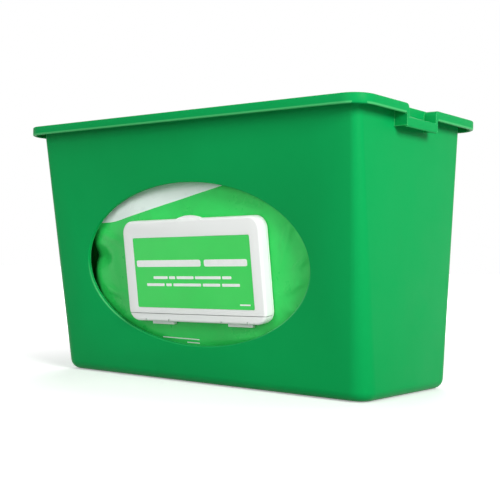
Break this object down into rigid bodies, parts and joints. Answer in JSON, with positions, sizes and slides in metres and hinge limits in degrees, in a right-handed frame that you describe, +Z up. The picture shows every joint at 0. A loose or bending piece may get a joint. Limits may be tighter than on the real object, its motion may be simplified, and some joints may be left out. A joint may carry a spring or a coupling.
{
  "type": "wall-mounted wipe dispenser",
  "caption": "Green moulded wall tub with a rimmed open top and an oval front window, holding a soft film pack of wipes with a white hinged flip-top lid.",
  "frame": {"origin": "on the wall plane, at the centre of the flat land the tub is screwed to the wall by", "axes": "+X to the right seen from the front, +Y into the wall, +Z up; the sloping front faces -Y"},
  "size_m": [0.31, 0.16, 0.19],
  "materials": {
    "tub": "satin",
    "film": "gloss",
    "lid": "satin",
    "label": "satin",
    "wipe": "matte"
  },
  "bodies": {
    "tub": {"dispenser_tub": "tub", "wipes_pack": "film", "lid_base": "lid", "top_wipe": "wipe"},
    "flap": {"lid_flap": "lid", "lid_label": "label"}
  },
  "joints": [
    {"name": "lid_hinge", "type": "hinge", "parent": "tub", "child": "flap", "pos_m": [0.0059, -0.13803, -0.04514], "axis": [0.9997, -0.0028, 0.0225], "range_deg": [0, 150]}
  ]
}
